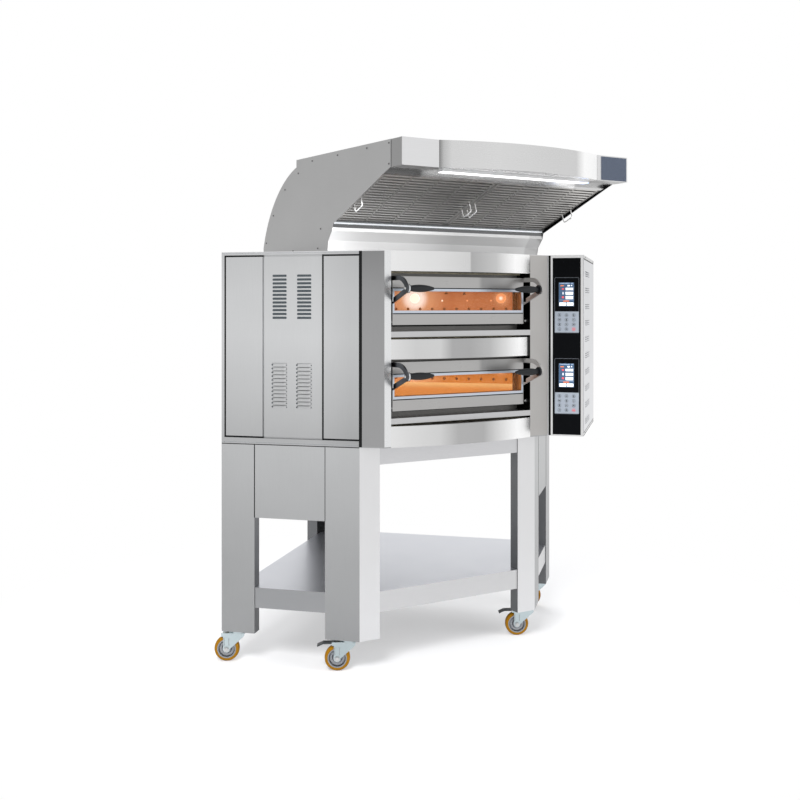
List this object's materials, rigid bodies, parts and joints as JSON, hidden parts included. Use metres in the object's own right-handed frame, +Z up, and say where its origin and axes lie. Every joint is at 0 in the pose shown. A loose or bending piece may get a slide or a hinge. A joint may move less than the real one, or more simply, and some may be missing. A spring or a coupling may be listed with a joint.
{
  "type": "electric deck pizza oven",
  "caption": "Five-sided electric deck pizza oven with drop-down glazed doors, extractor hood and a wheeled stand with a shelf.",
  "frame": {"origin": "middle of the footprint at floor level", "axes": "+Z up; +Y from the doors towards the rear corner; +X to the right of a person facing the doors"},
  "size_m": [1.8282, 1.7754, 2.1017],
  "materials": {
    "side_steel": "satin",
    "column_steel": "satin",
    "bright_steel": "satin",
    "sill_steel": "satin",
    "stand_steel": "satin",
    "hood_steel": "satin",
    "chamber_steel": "satin",
    "door_glass": "gloss",
    "grip_plastic": "matte",
    "deck_stone": "matte",
    "element_steel": "matte",
    "lamp_glass": "gloss",
    "blanket": "matte",
    "pin_steel": "polished",
    "control_glass": "gloss",
    "membrane": "matte",
    "electrics": "matte",
    "gland_plastic": "matte",
    "castor_zinc": "polished",
    "castor_tyre": "satin",
    "pedal_steel": "satin",
    "light_lens": "gloss",
    "fan_metal": "satin"
  },
  "bodies": {
    "oven_body": {"base_pan": "side_steel", "roof_panel": "side_steel", "column_left": "column_steel", "column_right": "bright_steel", "right_side_wall": "side_steel", "rear_wall": "side_steel", "fascia_bottom": "bright_steel", "fascia_middle": "bright_steel", "fascia_top": "bright_steel", "door_sills": "sill_steel", "left_side_frame": "side_steel", "left_louvred_panel": "side_steel", "left_plain_panels": "side_steel", "chamber_lower": "chamber_steel", "chamber_upper": "chamber_steel", "door_hinge_pins": "pin_steel", "deck_stones": "deck_stone", "heating_elements": "element_steel", "chamber_lamps": "lamp_glass", "insulation": "blanket", "control_casing": "side_steel", "control_side_cover": "side_steel", "control_glass": "control_glass", "control_keypads": "membrane", "power_unit": "electrics", "cable_gland": "gland_plastic", "stand_legs": "stand_steel", "front_rail": "stand_steel", "side_aprons": "stand_steel", "rear_rails": "stand_steel", "stand_shelf": "stand_steel", "castor_plates": "castor_zinc", "hood_top_panel": "hood_steel", "hood_side_panels": "hood_steel", "hood_corner_covers": "hood_steel", "hood_fascia": "hood_steel", "splash_panel": "hood_steel", "light_bar": "light_lens", "baffle_filters": "hood_steel", "fan_motor": "fan_metal", "exhaust_spigot": "hood_steel"},
    "lower_door": {"lower_door_frame": "bright_steel", "lower_door_glass": "door_glass", "lower_door_handles": "grip_plastic"},
    "upper_door": {"upper_door_frame": "bright_steel", "upper_door_glass": "door_glass", "upper_door_handles": "grip_plastic"},
    "castor_front_left_fork": {"castor_front_left_fork": "castor_zinc"},
    "castor_front_left_wheel": {"castor_front_left_wheel": "castor_tyre"},
    "brake_pedal_front_left": {"brake_pedal_front_left": "pedal_steel"},
    "castor_front_right_fork": {"castor_front_right_fork": "castor_zinc"},
    "castor_front_right_wheel": {"castor_front_right_wheel": "castor_tyre"},
    "brake_pedal_front_right": {"brake_pedal_front_right": "pedal_steel"},
    "castor_rear_left_fork": {"castor_rear_left_fork": "castor_zinc"},
    "castor_rear_left_wheel": {"castor_rear_left_wheel": "castor_tyre"},
    "castor_rear_right_fork": {"castor_rear_right_fork": "castor_zinc"},
    "castor_rear_right_wheel": {"castor_rear_right_wheel": "castor_tyre"},
    "castor_rear_corner_fork": {"castor_rear_corner_fork": "castor_zinc"},
    "castor_rear_corner_wheel": {"castor_rear_corner_wheel": "castor_tyre"},
    "fan_impeller": {"fan_impeller": "fan_metal"}
  },
  "joints": [
    {"name": "lower_door_hinge", "type": "hinge", "parent": "oven_body", "child": "lower_door", "pos_m": [-0.05264, -0.38368, 1.023], "axis": [1, 0, 0], "range_deg": [0, 90]},
    {"name": "upper_door_hinge", "type": "hinge", "parent": "oven_body", "child": "upper_door", "pos_m": [-0.05264, -0.38368, 1.358], "axis": [1, 0, 0], "range_deg": [0, 90]},
    {"name": "front_left_swivel", "type": "hinge", "parent": "oven_body", "child": "castor_front_left_fork", "pos_m": [-0.49925, -0.2805, 0.1137], "axis": [0, 0, 1], "continuous": true},
    {"name": "front_left_roll", "type": "hinge", "parent": "castor_front_left_fork", "child": "castor_front_left_wheel", "pos_m": [-0.53806, -0.25773, 0.05], "axis": [-0.506, -0.8625, 0], "continuous": true},
    {"name": "front_left_brake", "type": "hinge", "parent": "castor_front_left_fork", "child": "brake_pedal_front_left", "pos_m": [-0.54927, -0.25115, 0.108], "axis": [-0.506, -0.8625, 0], "range_deg": [0, 10]},
    {"name": "front_right_swivel", "type": "hinge", "parent": "oven_body", "child": "castor_front_right_fork", "pos_m": [0.37196, -0.2805, 0.1137], "axis": [0, 0, 1], "continuous": true},
    {"name": "front_right_roll", "type": "hinge", "parent": "castor_front_right_fork", "child": "castor_front_right_wheel", "pos_m": [0.33315, -0.25773, 0.05], "axis": [-0.506, -0.8625, 0], "continuous": true},
    {"name": "front_right_brake", "type": "hinge", "parent": "castor_front_right_fork", "child": "brake_pedal_front_right", "pos_m": [0.32194, -0.25115, 0.108], "axis": [-0.506, -0.8625, 0], "range_deg": [0, 10]},
    {"name": "rear_left_swivel", "type": "hinge", "parent": "oven_body", "child": "castor_rear_left_fork", "pos_m": [-0.82664, 0.04689, 0.1137], "axis": [0, 0, 1], "continuous": true},
    {"name": "rear_left_roll", "type": "hinge", "parent": "castor_rear_left_fork", "child": "castor_rear_left_wheel", "pos_m": [-0.86546, 0.06967, 0.05], "axis": [-0.506, -0.8625, 0], "continuous": true},
    {"name": "rear_right_swivel", "type": "hinge", "parent": "oven_body", "child": "castor_rear_right_fork", "pos_m": [0.69936, 0.04689, 0.1137], "axis": [0, 0, 1], "continuous": true},
    {"name": "rear_right_roll", "type": "hinge", "parent": "castor_rear_right_fork", "child": "castor_rear_right_wheel", "pos_m": [0.66055, 0.06967, 0.05], "axis": [-0.506, -0.8625, 0], "continuous": true},
    {"name": "rear_corner_swivel", "type": "hinge", "parent": "oven_body", "child": "castor_rear_corner_fork", "pos_m": [-0.06364, 0.82262, 0.1137], "axis": [0, 0, 1], "continuous": true},
    {"name": "rear_corner_roll", "type": "hinge", "parent": "castor_rear_corner_fork", "child": "castor_rear_corner_wheel", "pos_m": [-0.10246, 0.84539, 0.05], "axis": [-0.506, -0.8625, 0], "continuous": true},
    {"name": "fan_spin", "type": "hinge", "parent": "oven_body", "child": "fan_impeller", "pos_m": [-0.06364, -0.11768, 1.784], "axis": [0, 0, 1], "continuous": true}
  ]
}
